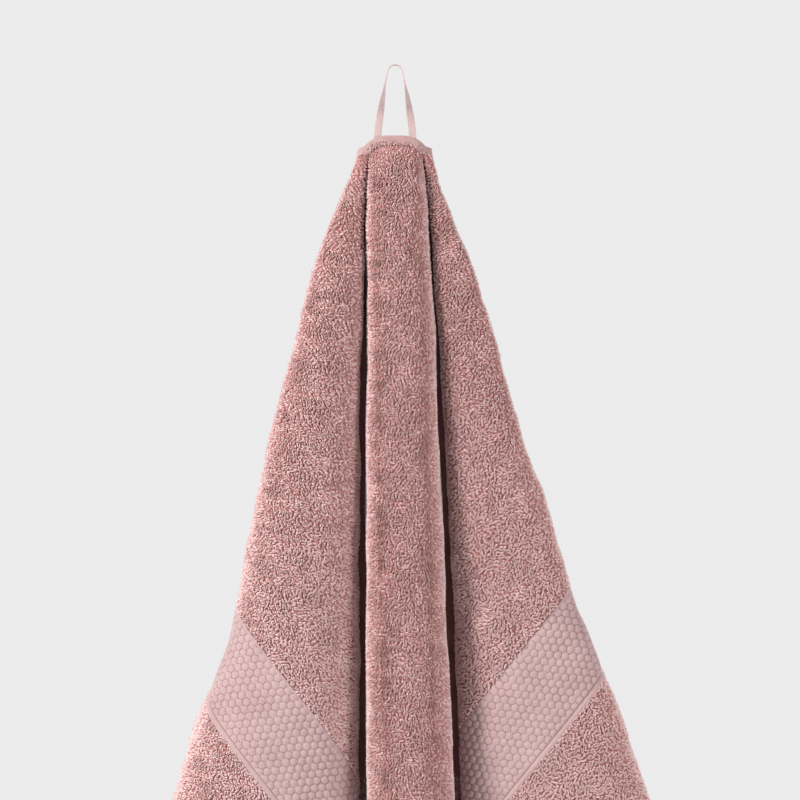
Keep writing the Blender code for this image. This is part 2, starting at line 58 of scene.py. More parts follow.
# %% Sizes of the cloth laid flat
TOWEL_LENGTH, TOWEL_WIDTH = 1.400, 0.700
HEM_WIDTH = 0.010
BAND_START, BAND_WIDTH = 0.410, 0.087
ROOT_OUT, ROOT_Y, ROOT_Z = 0.026, -0.0020, -0.0900  # where the loop's hold on the cloth ends
ARCH = 0.0090  # how far the cloth's edge rises between the roots
BAND_END = BAND_START + BAND_WIDTH
CLOTH_END = TOWEL_LENGTH / 2 - HEM_WIDTH
LOW = TOWEL_WIDTH - 2 * HEM_WIDTH
FULL_FOLD, LAYER = 0.110, 0.0090  # depth at which the folds are full, and the width of a turn
H_BACK, REAR_1, REAR_ROOM = 0.0080, 0.0180, 0.0100  # hidden fold, first rear layer, gap behind
WING_BASE, PLEAT_ROUND, WING_ROUND, SURFACE = -0.0080, 2.4, 2.3, 0.0033
FRONT_STEP, FRONT_LEAN, CROWN = (0.014, 0.025), 0.070, (0.5, 0.6)
SLIT, ROOM, WRAP = (0.0020, 0.0050, 0.0060), 0.0130, (0.008, 0.020)
REAR_ANGLE, SECOND_REAR = 0.2756, 0.887
PLEAT_AT = 0.65  # how far down the pleat's growth in width is given
SIDES = {
    "left": {
        "sign": -1.0, "pleat_edge": (0.0255, 0.0), "wing_angle": 0.634, "bulge": 0.27,
        "outline": [
            (0.085, 0.030), (0.098, 0.041), (0.118, 0.049), (0.142, 0.059), (0.180, 0.074),
            (0.257, 0.0955), (0.338, 0.117), (0.438, 0.141), (0.534, 0.159), (0.595, 0.174),
            (0.652, 0.196), (0.738, 0.224), (0.860, 0.262), (1.100, 0.330),
        ],
    },
    "right": {
        "sign": 1.0, "pleat_edge": (0.0260, 0.0300), "wing_angle": 0.714, "bulge": 0.15,
        "outline": [
            (0.085, 0.030), (0.098, 0.040), (0.125, 0.047), (0.154, 0.059), (0.186, 0.071),
            (0.268, 0.099), (0.338, 0.1175), (0.438, 0.151), (0.524, 0.177), (0.610, 0.211),
            (0.738, 0.256), (0.860, 0.298), (1.100, 0.370),
        ],
    },
}

# %% [markdown]
# Hung from the middle of a long side, each bit of cloth keeps its distance from the nearer end
# of the stretch that the loop holds up, called a root here. So at any distance from a root the
# cloth makes one folded section: the front pleat, a long fold hidden behind its side, the
# broad wing, the turn round its edge, and two layers behind. Two small helpers come first: an
# even start and stop, and a soft curve through a few chosen points.

# %% Soft steps and soft curves


def smooth(x, start, end):
    t = np.clip((x - start) / (end - start), 0.0, 1.0)
    return t * t * (3.0 - 2.0 * t)


def soft_curve(x, points):
    px, py = np.array(points).T
    slope = np.gradient(py, px)
    k = np.clip(np.searchsorted(px, x) - 1, 0, len(px) - 2)
    step = px[k + 1] - px[k]
    t = np.clip((x - px[k]) / step, 0.0, 1.0)
    rise = py[k] * (1 + 2 * t) * (1 - t) ** 2 + py[k + 1] * t * t * (3 - 2 * t)
    bend = step * (slope[k] * t * (1 - t) ** 2 + slope[k + 1] * t * t * (t - 1))
    return rise + bend + np.where(x > px[-1], (x - px[-1]) * slope[-1], 0.0)


# %% [markdown]
# The layout says where each stretch of the folded section begins and ends, at every distance r
# from a root. Near the root the folds close up until the layers touch, as they do where the
# loop gathers the cloth. The outer edge follows the outline of the hanging towel, and the cloth
# left over goes into the fold hidden behind the pleat and into the layers behind the wing.

# %% Where each stretch of the section goes


def layout(name, r):
    side = SIDES[name]
    fold = np.minimum(1.0, r / FULL_FOLD) ** 0.8
    grown = {n: s["pleat_edge"][0] + s["pleat_edge"][1] * (r / PLEAT_AT) ** 0.85 for n, s in SIDES.items()}
    centre = side["sign"] * (grown["right"] - grown["left"]) / 2
    half = (grown["right"] + grown["left"]) / 2
    front = ROOT_Y - FRONT_STEP[0] * (1 - np.exp(-r / FRONT_STEP[1])) - FRONT_LEAN * r
    turn = LAYER / 2 * fold
    h_back = ROOT_Y + fold * (H_BACK - ROOT_Y)
    base = ROOT_Y + fold * (WING_BASE - ROOT_Y)
    drop = r.copy()
    for _ in range(8):
        reach = soft_curve(drop - ROOT_Z, side["outline"]) - SURFACE
        out = np.clip(reach - ROOT_OUT, 0, 0.8 * r)
        drop = np.sqrt(np.maximum(r * r - out * out, 0))
    edge = centre + half
    rim = edge + SLIT[0] + SLIT[1] * smooth(r, 0.0, 0.05) + SLIT[2] * smooth(r, 0.05, 0.30)
    reach = np.maximum(reach, rim + 0.004 + 0.05 * r)
    wrap = np.minimum(WRAP[0] + WRAP[1] * r, 0.8 * (REAR_1 - WING_BASE)) * fold
    crown = np.minimum(CROWN[0] * half, CROWN[1] * (h_back - front))
    plain = 1.25 * half + (h_back - front - crown) + 2.0 * LAYER * fold
    wanted = (ROOT_OUT + r * side["wing_angle"] - plain) / 2
    most = reach - ROOM * fold - turn - edge
    hidden = np.minimum(np.maximum(wanted, rim - edge + 0.15 * LAYER * fold), most)
    most = reach - wrap - turn - REAR_ROOM * smooth(r, 0.0, 0.2)
    rear_share = np.minimum(REAR_ANGLE * r, most)
    rear_in = reach - wrap - rear_share
    start = np.minimum(base, h_back - 3 * turn)
    return {
        "centre": centre, "half": half, "edge": edge, "front": front, "crown": crown,
        "turn": turn, "h_back": h_back, "h_end": edge + turn + hidden, "rim": rim, "base": start,
        "reach": reach, "bulge": side["bulge"] * (reach - rim), "wrap": wrap,
        "rear_1": ROOT_Y + fold * (REAR_1 - ROOT_Y), "rear_in": rear_in,
        "rear_out": rear_in + rear_share * SECOND_REAR - 3.0 * turn,
    }


# %% [markdown]
# Each stretch of the section is one short function of t, from 0 at its start to 1 at its end,
# and gives places across and from front to back. Seen from above the cloth runs over the dome
# and wall of the pleat, out and back in the hidden fold, round the rim, over the wing, round
# its outer side and behind it, where the spare cloth turns back once more.

# %% The stretches of the section


def line(t, a, b):
    return a + (b - a) * t


def arc(t, cx, cy, radius, start, sweep):
    return cx + radius * np.cos(start + sweep * t), cy + radius * np.sin(start + sweep * t)


def rounded(angle, exponent):
    c, s = np.cos(angle), np.sin(angle)
    return np.sign(c) * np.abs(c) ** (2 / exponent), np.sign(s) * np.abs(s) ** (2 / exponent)


def dome(t, g):
    c, s = rounded(t * np.pi / 2, PLEAT_ROUND)
    return g["centre"] + g["half"] * s, g["front"] + g["crown"] * (1 - c)


def wall(t, g):
    return g["edge"] + 0 * t, line(t, g["front"] + g["crown"], g["h_back"] - g["turn"])


def turn_out(t, g):
    return arc(t, g["edge"] + g["turn"], g["h_back"] - g["turn"], g["turn"], np.pi, -np.pi / 2)


def hidden_back(t, g):
    return line(t, g["edge"] + g["turn"], g["h_end"]), g["h_back"] + 0 * t


def hidden_turn(t, g):
    return arc(t, g["h_end"], g["h_back"] - g["turn"], g["turn"], np.pi / 2, -np.pi)


def hidden_front(t, g):
    return line(t, g["h_end"], g["rim"] + g["turn"]), g["h_back"] - 2 * g["turn"] + 0 * t


def rim_turn(t, g):
    return arc(t, g["rim"] + g["turn"], g["h_back"] - 3 * g["turn"], g["turn"], np.pi / 2, np.pi / 2)


def rim_side(t, g):
    return g["rim"] + 0 * t, line(t, g["h_back"] - 3 * g["turn"], g["base"])


def wing(t, g):
    c, s = rounded(t * np.pi, WING_ROUND)
    middle, half = (g["reach"] + g["rim"]) / 2, (g["reach"] - g["rim"]) / 2
    return middle - half * c, g["base"] - g["bulge"] * s


def outer_side(t, g):
    return g["reach"] + 0 * t, line(t, g["base"], np.maximum(g["base"], g["rear_1"] - g["wrap"]))


def wrap_turn(t, g):
    flat = np.maximum(g["base"], g["rear_1"] - g["wrap"])
    x, y = arc(t, 0.0, 0.0, 1.0, 0.0, np.pi / 2)
    return g["reach"] + g["wrap"] * (x - 1), flat + (g["rear_1"] - flat) * y


def rear_first(t, g):
    return line(t, g["reach"] - g["wrap"], g["rear_in"]), g["rear_1"] + 0 * t


def rear_turn(t, g):
    x, y = arc(t, 0.0, 0.0, 1.0, -np.pi / 2, -np.pi)
    return g["rear_in"] + g["turn"] * x, g["rear_1"] + g["turn"] * (1 + y)


def rear_second(t, g):
    return line(t, g["rear_in"], g["rear_out"]), g["rear_1"] + 2 * g["turn"] + 0 * t


PATH = [dome, wall, turn_out, hidden_back, hidden_turn, hidden_front, rim_turn, rim_side, wing,
        outer_side, wrap_turn, rear_first, rear_turn, rear_second]
print("stretches in the section:", len(PATH))

# %% [markdown]
# The section is worked out once, in fine steps, at many distances from the root, and looked up
# after that. A towel can't stretch, so each flat place is put at its true distance along the
# cloth. The angle at which it leaves the root is spread so that the rim and the wing's edge
# run straight down, as pressed folds do.

# %% A table of folded sections
STEPS = 24
AT = {stretch.__name__: i * (STEPS + 1) for i, stretch in enumerate(PATH)}
LEVELS = np.geomspace(0.002, 1.010, 260)


def fine_table(name):
    g = {key: value[:, None] for key, value in layout(name, LEVELS).items()}
    t = np.linspace(0.0, 1.0, STEPS + 1)[None, :] + 0 * LEVELS[:, None]
    pairs = [stretch(t, g) for stretch in PATH]
    x, y = (np.hstack([pair[k] + 0 * t for pair in pairs]) for k in (0, 1))
    run = np.hypot(np.diff(x, axis=1), np.diff(y, axis=1))
    length = np.hstack([0 * LEVELS[:, None], np.cumsum(run, axis=1)])
    r, end = LEVELS[:, None], length[:, -1:]
    start, rim, side = (length[:, AT[n]:AT[n] + 1] for n in ("hidden_back", "rim_side", "outer_side"))
    angle_start = (start - ROOT_OUT) / r
    angle_rim = SIDES[name]["wing_angle"] + 0 * r
    angle_side = angle_rim + (side - rim) / r

    def between(a, b, angle_a, angle_b):
        return angle_a + (length - a) / (b - a) * (angle_b - angle_a)

    true = (length - ROOT_OUT) / r
    far = np.where(length < start, true, between(start, rim, angle_start, angle_rim))
    far = np.where(length > rim, between(rim, side, angle_rim, angle_side), far)
    far = np.where(length > side, between(side, end, angle_side, np.pi / 2), far)
    near = np.where(length < start, true, between(start, end, angle_start, np.pi / 2))
    return x, y, length, near + (far - near) * smooth(r, 0.06, 0.14)


TABLES = {name: fine_table(name) for name in SIDES}
nearest = int(np.argmin(np.abs(LEVELS - PLEAT_AT)))
cloth_used = float(TABLES["right"][2][nearest, -1])
print("cloth in the right section", PLEAT_AT, "m down:", round(cloth_used, 3), "m")

# %% [markdown]
# These functions take any number of flat places at once and give where they hang, and with it
# the cloth's own directions there: along x, down w, and out of its front face.

# %% From the flat cloth to the folded one


def read(table, column, level):
    low = np.clip(level.astype(int), 0, len(LEVELS) - 2)
    left = np.clip(column.astype(int), 0, table.shape[1] - 2)
    down, along = level - low, column - left
    upper = table[low, left] * (1 - along) + table[low, left + 1] * along
    lower = table[low + 1, left] * (1 - along) + table[low + 1, left + 1] * along
    return upper * (1 - down) + lower * down


def columns_at(name, r, angle):
    """The place along the folded section, in fine steps, of each flat place."""
    table = TABLES[name][3]
    level = np.interp(r, LEVELS, np.arange(len(LEVELS)))
    low = np.clip(level.astype(int), 0, len(LEVELS) - 2)
    column, count = np.zeros(len(r)), np.arange(table.shape[1])
    order = np.argsort(low, kind="stable")
    bounds = np.searchsorted(low[order], np.arange(len(LEVELS)))
    for k in range(len(LEVELS) - 1):
        pick = order[bounds[k]:bounds[k + 1]]
        if len(pick):
            a, b = (np.interp(angle[pick], table[k + i], count) for i in (0, 1))
            column[pick] = a + (b - a) * (level[pick] - k)
    return column, level


def fold_side(name, u, w):
    """Places and section columns for one side: u out from the middle, w down from the hem."""
    x, y, length, _ = TABLES[name]
    past = u - ROOT_OUT
    inside = np.maximum(w, 1e-4)
    r = np.clip(np.where(past > 0, np.hypot(past, inside), inside), LEVELS[0], LEVELS[-1])
    angle = np.where(past > 0, np.arctan2(past, inside), past / r)
    column, level = columns_at(name, r, angle)
    px, py, run = (read(table, column, level) for table in (x, y, length))
    along = np.minimum(run, ROOT_OUT)
    top = ROOT_Z + ARCH * (1 - (along / ROOT_OUT) ** 4)
    drop = np.sqrt(np.maximum(r * r - (px - along) ** 2 - (py - ROOT_Y) ** 2, 0.04 * r * r))
    return np.stack([SIDES[name]["sign"] * px, py, top - drop], axis=1), column


# %% [markdown]
# The turned hem stands off the edge of the cloth: straight up over the loop, slanting at the
# roots, and in line with the last layer further out. Hanging cloth is never quite even, so a
# slow waviness of about a millimetre is added, which fades out at the roots.

# %% The hem's direction and the unevenness of the cloth


def hem_direction(name, u):
    """Which way the top hem stands off the cloth's edge."""
    sign, past = SIDES[name]["sign"], np.maximum(u - ROOT_OUT, LEVELS[0])
    last = TABLES[name][3].shape[1] - 1
    level = np.interp(past, LEVELS, np.arange(len(LEVELS)))
    ends = [np.stack([sign * read(TABLES[name][0], last - back + 0 * past, level),
                      read(TABLES[name][1], last - back + 0 * past, level)], axis=1)
            for back in (0, STEPS / 2)]
    flat = ends[0] - ends[1]
    flat /= np.maximum(np.linalg.norm(flat, axis=1, keepdims=True), 1e-9)
    back = np.column_stack([flat, np.zeros(len(u))])
    slant = np.array([0.60 * sign, 0.45, 0.66])
    up = np.array([0.0, 0.0, 1.0])
    near = smooth(u, 0.55 * ROOT_OUT, 1.15 * ROOT_OUT)[:, None]
    far = smooth(u, 1.15 * ROOT_OUT, ROOT_OUT + 0.060)[:, None]
    way = (up * (1 - near) + slant * near) * (1 - far) + back * far
    return way / np.linalg.norm(way, axis=1, keepdims=True)


def soft_field(x, w):
    """Slow unevenness of hanging cloth, in metres out of its front face."""
    a = np.sin(41 * x + 1.1 + 9 * w) * np.sin(23 * w + 0.4)
    b = np.sin(83 * x - 19 * w + 2.0) * np.sin(37 * w + 1.7)
    c = np.sin(17 * x + 61 * w) * np.sin(131 * x + 29 * w)
    return 0.0011 * a + 0.0007 * b + 0.0005 * c


# %% [markdown]
# Last, one function hangs both sides, and another adds the three directions of the cloth at
# each place, found from its near neighbours. Everything on the towel is placed with the second.

# %% Hanging the whole cloth


def hang(x, w):
    """Where flat places hang. x runs along the towel from its middle, w down from the hem."""
    points, column = np.zeros((len(x), 3)), np.zeros(len(x))
    for name, side in SIDES.items():
        pick = np.nonzero(x < 0 if name == "left" else x >= 0)[0]
        if len(pick):
            u = np.abs(x[pick])
            place, column[pick] = fold_side(name, u, w[pick])
            off = np.maximum(-w[pick], 0.0)
            arch = ROOT_Z + ARCH * (1 - (u / ROOT_OUT) ** 4)
            edge = np.column_stack([x[pick], ROOT_Y + 0 * u, arch])
            edge[u > ROOT_OUT] = (side["sign"] * ROOT_OUT, ROOT_Y, ROOT_Z)
            away = np.hypot(np.maximum(u - ROOT_OUT, 0), np.maximum(w[pick], 0))
            held = np.clip(1 - away / LEVELS[0], 0, 1)
            place = place + (edge - place) * held[:, None]
            points[pick] = place + off[:, None] * hem_direction(name, u)
    return points, column


STEP = 0.0008  # to the neighbours that give the cloth's directions


def cloth_frame(x, w):
    """Place, direction along x, direction down w, front normal, and section column."""
    here, column = hang(x, w)
    inward = np.where(np.abs(x) < 2 * STEP, 0.0, STEP)
    along = hang(x + STEP, w)[0] - hang(x - inward, w)[0]
    down = hang(x, w + STEP)[0] - hang(x, w - STEP)[0]
    along /= np.maximum(np.linalg.norm(along, axis=1, keepdims=True), 1e-9)
    down /= np.maximum(np.linalg.norm(down, axis=1, keepdims=True), 1e-9)
    normal = np.cross(down, along)
    normal /= np.maximum(np.linalg.norm(normal, axis=1, keepdims=True), 1e-9)
    ease = smooth(w, 0.01, 0.06) * (0.4 + 0.6 * smooth(np.abs(x), 0.0, 0.05))
    here = here + normal * (soft_field(x, w) * ease)[:, None]
    return here, along, down, normal, column


test = cloth_frame(np.array([0.0, 0.10, 0.45]), np.array([0.30, 0.50, 0.60]))
print("three places on the cloth:", test[0].round(3).tolist())

# %% [markdown]
# Everything here is the same dyed cotton, but each weave takes the light in its own way. The
# yarn is matt with a soft bloom at grazing angles. Its colour wanders a little, as dyed yarn
# does, and fine noise stands for the fibres that are too small to build. Painted colour would
# do as well on one side, but node textures follow the yarn round every curl.

# %% Cotton


def cotton(name, colour, deep, grain, rough=0.92, sheen=0.35, bump=0.25):
    material = bpy.data.materials.new(name)
    material.use_nodes = True
    tree = material.node_tree
    shader = tree.nodes["Principled BSDF"]
    shader.inputs["Roughness"].default_value = rough
    shader.inputs["Sheen Weight"].default_value = sheen
    shader.inputs["Sheen Roughness"].default_value = 0.55
    shader.inputs["Sheen Tint"].default_value = (1.0, 0.96, 0.95, 1.0)
    shader.inputs["Specular IOR Level"].default_value = 0.2
    place = tree.nodes.new("ShaderNodeTexCoord")
    patches, fibres = (tree.nodes.new("ShaderNodeTexNoise") for _ in range(2))
    patches.inputs["Scale"].default_value = 38.0
    patches.inputs["Detail"].default_value = 6.0
    fibres.inputs["Scale"].default_value = grain
    fibres.inputs["Detail"].default_value = 3.0
    ramp = tree.nodes.new("ShaderNodeValToRGB")
    ramp.color_ramp.elements[0].position, ramp.color_ramp.elements[1].position = 0.30, 0.72
    ramp.color_ramp.elements[0].color = (*deep, 1.0)
    ramp.color_ramp.elements[1].color = (*colour, 1.0)
    relief = tree.nodes.new("ShaderNodeBump")
    relief.inputs["Strength"].default_value = bump
    relief.inputs["Distance"].default_value = 0.0006
    for node in (patches, fibres):
        tree.links.new(place.outputs["Object"], node.inputs["Vector"])
    tree.links.new(patches.outputs["Fac"], ramp.inputs["Fac"])
    tree.links.new(ramp.outputs["Color"], shader.inputs["Base Color"])
    tree.links.new(fibres.outputs["Fac"], relief.inputs["Height"])
    tree.links.new(relief.outputs["Normal"], shader.inputs["Normal"])
    return material


# %% [markdown]
# The pile has three close shades: a middle one, a lighter copy that is painted light and a
# deeper copy that is painted shade, for curls that lie over and show more or less of their
# shaded side. The foot of a curl and the ground below it are painted deeper and redder, as
# painted shade down among the curls and the redder light passed there from yarn to yarn. The
# hem, tape and bands are smoother cloth, and paler; the grooves of the bands are painted shade.

# %% The shades of the towel
# Painted shade: the ground's deep red stands for the shade in the valleys between the curls.
GROUND_SHADE = cotton("terry ground", (0.330, 0.138, 0.130), (0.250, 0.096, 0.090), 2600, sheen=0.1)
# The light and deep copies are painted light and painted shade on one yarn.
PILE = [
    cotton("pile yarn", (0.560, 0.350, 0.337), (0.480, 0.282, 0.270), 3200, sheen=1.0),
    cotton("pile yarn light", (0.635, 0.440, 0.426), (0.560, 0.370, 0.357), 3200, sheen=1.0),
    cotton("pile yarn deep", (0.450, 0.240, 0.230), (0.370, 0.185, 0.176), 3200, sheen=1.0),
]
# Painted shade for the ends of each curl.
FOOT_SHADE = cotton("pile foot", (0.460, 0.245, 0.234), (0.385, 0.190, 0.180), 3200, sheen=0.4)
HONEY = cotton("honeycomb face", (0.385, 0.262, 0.259), (0.335, 0.220, 0.217), 3000, sheen=0.55)
# Painted shade in the grooves of the bands.
GROOVE_SHADE = cotton("honeycomb groove", (0.265, 0.158, 0.155), (0.215, 0.122, 0.119), 3000, sheen=0.3)
PLAIN = cotton("hem weave", (0.400, 0.250, 0.243), (0.320, 0.188, 0.182), 2200, sheen=0.6, bump=0.5)
TAPE = cotton("tape weave", (0.480, 0.355, 0.350), (0.400, 0.280, 0.275), 2600, sheen=0.5, bump=0.4)
THREAD = cotton("sewing thread", (0.500, 0.310, 0.298), (0.430, 0.250, 0.240), 4000, rough=0.7)
print("cottons:", len(bpy.data.materials))

# %% [markdown]
# The towel has a great many small parts, so meshes are filled straight from arrays, which is
# far quicker than adding them one by one. The cloth's vertices keep their places on the flat
# towel as texture places.

# %% Making meshes from arrays
FLAT_SPAN = 1.44  # a little more than the towel's length


def make_mesh(name, points, faces, materials, flat, index=None):
    """An object from an array of points and an array of faces, all with the same corner count."""
    corners = faces.shape[1]
    mesh = bpy.data.meshes.new(name)
    mesh.vertices.add(len(points))
    mesh.vertices.foreach_set("co", points.astype(np.float32).ravel())
    mesh.loops.add(faces.size)
    mesh.loops.foreach_set("vertex_index", faces.astype(np.int32).ravel())
    mesh.polygons.add(len(faces))
    mesh.polygons.foreach_set("loop_start", np.arange(0, faces.size, corners, dtype=np.int32))
    mesh.update(calc_edges=True)
    for material in materials:
        mesh.materials.append(material)
    if index is not None:
        mesh.polygons.foreach_set("material_index", index.astype(np.int32))
    mesh.polygons.foreach_set("use_smooth", np.ones(len(faces), bool))
    layer = mesh.uv_layers.new(name="OFBake")
    place = (flat + (TOWEL_LENGTH / 2, 2 * HEM_WIDTH)) / FLAT_SPAN
    layer.data.foreach_set("uv", place[faces.ravel()].astype(np.float32).ravel())
    mesh.validate()
    thing = bpy.data.objects.new(name, mesh)
    bpy.context.scene.collection.objects.link(thing)
    return thing


def grid_faces(rows, cols):
    i, j = np.meshgrid(np.arange(rows - 1), np.arange(cols - 1), indexing="ij")
    a = (i * cols + j).ravel()
    return np.column_stack([a, a + cols, a + cols + 1, a + 1])


# %% [markdown]
# Most of the towel is closed cloth over some rectangle of the flat towel. One helper makes it:
# a front and a back face at half a thickness each side of the hung cloth, joined round the
# rim. It can carry a relief on both faces and a second shade of yarn in chosen places.

# %% Cloth over a flat rectangle


def cloth_piece(name, xs, ws, thickness, materials, relief=None, dark=None):
    """Closed cloth over a rectangle of the flat towel; relief and dark are functions of x, w."""
    w, x = (a.ravel() for a in np.meshgrid(ws, xs, indexing="ij"))
    here, _, _, normal, _ = cloth_frame(x, w)
    rise = (thickness(x, w) if callable(thickness) else thickness + 0 * x) / 2
    rise = rise + (relief(x, w) if relief else 0.0)
    front, back = here + normal * rise[:, None], here - normal * rise[:, None]
    rows, cols, count = len(ws), len(xs), len(x)
    faces = grid_faces(rows, cols)
    ring = np.r_[0:cols, 2 * cols - 1:count:cols, count - 2:count - cols - 1:-1,
                 count - 2 * cols:0:-cols]
    after = np.roll(ring, -1)
    rim = np.column_stack([ring, after, after + count, ring + count])
    closed = np.vstack([faces, faces[:, ::-1] + count, rim])
    index = None
    if dark:
        shade = dark(x[faces].mean(axis=1), w[faces].mean(axis=1)).astype(int)
        index = np.r_[shade, shade, np.zeros(len(rim), int)]
    flat = np.column_stack([np.r_[x, x], np.r_[w, w]])
    thing = make_mesh(name, np.vstack([front, back]), closed, materials, flat, index)
    print(f"{name}: {len(closed)} faces")
    return thing


# %% [markdown]
# Under the loops of the pile lies the plain ground weave that holds them. It is built first, as
# one closed sheet for each stretch of terry. It is painted much darker and redder than the pile,
# as painted shade for the valleys between the curls, where it shows. The grid is finer near
# the roots, where the folds are tight.

# %% The ground of the terry
GROUND_THICK = 0.0020


def spaced(start, end, step, fine_from=None, fine_to=None, fine=0.002):
    """Grid lines from start to end, closer together over one stretch."""
    places, at = [start], start
    while at < end - 1e-6:
        near = fine_from is not None and fine_from <= at < fine_to
        at = min(end, at + (fine if near else step))
        places.append(at)
    if len(places) > 2 and places[-1] - places[-2] < 0.0005:
        places.pop(-2)
    return np.array(places)


def mirrored(start, end, step, **fine):
    right = spaced(start, end, step, **fine)
    return np.concatenate([-right[:0:-1], right])


fine_x = mirrored(0.0, BAND_START - 0.0003, 0.0040, fine_from=0.0, fine_to=0.070)
fine_w = spaced(0.0, LOW, 0.0040, fine_from=0.0, fine_to=0.050)
coarse_w = spaced(0.0003, LOW, 0.0040)


def ground_thickness(x, w):
    return GROUND_THICK * (0.5 + 0.5 * smooth(w, 0.0, 0.05))


pieces = {}
pieces["terry_field"] = cloth_piece("terry_ground_field", fine_x, fine_w, ground_thickness, [GROUND_SHADE])
for name, side in SIDES.items():
    xs = side["sign"] * spaced(BAND_END + 0.0003, CLOTH_END, 0.0040)
    pieces[f"end_terry_{name}"] = cloth_piece(
        f"terry_ground_{name}", np.sort(xs), coarse_w, GROUND_THICK, [GROUND_SHADE])

# %% [markdown]
# A border band is woven without pile, so it lies lower than the terry. Its weave makes rows of
# small oval pillows, each row shifted half a pillow from the last, with a thin groove round
# each. Towards the end of the towel a groove and a raised rib close the band. All of this is
# real relief, because a bump only in the shading would vanish along the towel's outline. The
# grooves, and a thin strip along the band's inner edge under the terry, take a darker yarn
# colour as painted shade.

# %% The honeycomb border bands
CELL_W, ROW_X = 0.0082, 0.0066
PILLOW, GROOVE_HALF = 0.00110, 0.00042
RIB_OUT, RIB_HALF, RIB_HIGH = 0.0052, 0.0022, 0.0009  # RIB_OUT is from the band's outer edge


def cell_edge(x, w):
    """How far a flat place is inside its pillow, in metres: 0 in the middle of the groove."""
    row = np.round(np.abs(x) / ROW_X)
    near = np.full((2, len(x)), 9.0)
    for k in (-1, 0, 1):
        shift = np.where((row + k) % 2 == 0, 0.0, 0.5 * CELL_W)
        beside = np.round((w - shift) / CELL_W)
        for m in (-1, 0, 1):
            away = np.hypot(np.abs(x) - (row + k) * ROW_X, w - (beside + m) * CELL_W - shift)
            near[1] = np.minimum(near[1], np.maximum(near[0], away))
            near[0] = np.minimum(near[0], away)
    return (near[1] - near[0]) / 2


def band_relief(x, w):
    along = np.abs(x) - BAND_START
    last = smooth(along, BAND_WIDTH - 0.0075, BAND_WIDTH - 0.0065)
    cells = smooth(along, 0.001, 0.003) * (1 - last)
    pillow = PILLOW * cells * smooth(cell_edge(x, w), 0.0, 0.0024) ** 0.7
    rib_at = (along - (BAND_WIDTH - RIB_OUT + RIB_HALF)) / RIB_HALF
    rib = RIB_HIGH * np.sqrt(np.clip(1 - rib_at**2, 0, 1)) * (1 + 0.12 * np.sin(w * 2 * np.pi / 0.0022))
    return pillow + rib


# Painted shade: the grooves round the pillows, the low strip before the rib, and a thin strip along the
# band's inner edge under the terry.
def groove_shade_mask(x, w):
    along = np.abs(x) - BAND_START
    cells = (along > 0.003) & (along < BAND_WIDTH - 0.007)
    low = (along > BAND_WIDTH - 0.0070) & (along < BAND_WIDTH - 0.0054)
    return (cells & (cell_edge(x, w) < GROOVE_HALF)) | low | (along < 0.0012)


band_w = spaced(0.0003, LOW, 0.00115)
for name, side in SIDES.items():
    xs = side["sign"] * spaced(BAND_START, BAND_END, 0.00110)
    pieces[f"border_band_{name}"] = cloth_piece(
        f"honeycomb_band_{name}", np.sort(xs), band_w, 0.0022, [HONEY, GROOVE_SHADE],
        band_relief, groove_shade_mask)

# %% [markdown]
# On a real towel each edge is turned over twice and stitched down. The turned hem is three
# thicknesses of plain cloth, so it is smooth, thick and rounded along its fold, with a row of
# stitches close to its inner edge. The same cloth helper makes it, with a thickness that rounds
# off across the hem, so that it goes through every fold with its neighbour.

# %% The hems
HEM_FULL = 0.0030
HEM_FLAT, HEM_ROUND = 0.55, 0.2107  # share of the hem that is flat, and how sharply the rest rounds


def round_edge(out):
    """Thickness across a hem, from its inner edge to its fold."""
    past = np.clip(out, HEM_FLAT, 1.0) - HEM_FLAT
    return HEM_FULL * np.sqrt(np.clip(1 - past**2 / HEM_ROUND, 0.0, 1.0))


def across_hem(count=8):
    t = np.linspace(0, 1, count)
    return HEM_WIDTH * (1 - (1 - t) ** 1.6)


def hem_ripple(x, w):
    run = x + 0.7 * w
    return 0.00012 * np.sin(run * 2 * np.pi / 0.0026) + 0.0002 * np.sin(run * 2 * np.pi / 0.019)


def top_thickness(x, w):
    past = np.abs(x) - ROOT_OUT
    squeezed = smooth(past, 0.0, 0.012) * (1 - smooth(past, 0.04, 0.11))
    return round_edge(-w / HEM_WIDTH) * (1 - 0.55 * squeezed)


top_w = -across_hem()[::-1]
top_x = mirrored(0.0, CLOTH_END, 0.0035, fine_from=0.0, fine_to=0.12, fine=0.0016)
pieces["long_hem_top"] = cloth_piece("hem_top", top_x, top_w, top_thickness, [PLAIN], hem_ripple)
low_x = mirrored(0.0, CLOTH_END, 0.0030)
low_w = LOW + across_hem()
pieces["long_hem_bottom"] = cloth_piece(
    "hem_bottom", low_x, low_w, lambda x, w: round_edge((w - LOW) / HEM_WIDTH), [PLAIN], hem_ripple)
for name, side in SIDES.items():
    xs = side["sign"] * (CLOTH_END + across_hem())
    rows = np.r_[-HEM_WIDTH + 0.0002, spaced(-0.006, LOW + 0.006, 0.0030), LOW + HEM_WIDTH - 0.0002]
    pieces[f"end_hem_{name}"] = cloth_piece(
        f"hem_end_{name}", np.sort(xs), rows,
        lambda x, w: round_edge((np.abs(x) - CLOTH_END) / HEM_WIDTH), [PLAIN], hem_ripple)

# %% [markdown]
# Terry is covered with loops of soft twisted yarn, a few to the centimetre each way. A loop
# that has been washed lies over to one side as a short fat curl, light on its crown and dark
# at its foot, and neighbours lean the same way in patches. Each one is built as a small ridge
# of yarn, arched along its length, bent in plan and slightly twisted. A particle system could
# scatter them too, but then they wouldn't keep their places on the woven cloth. Faces that
# can be seen from outside get all of their curls, inner faces fewer, and hidden ones none.

# %% Places for the pile
PITCH = 0.00215


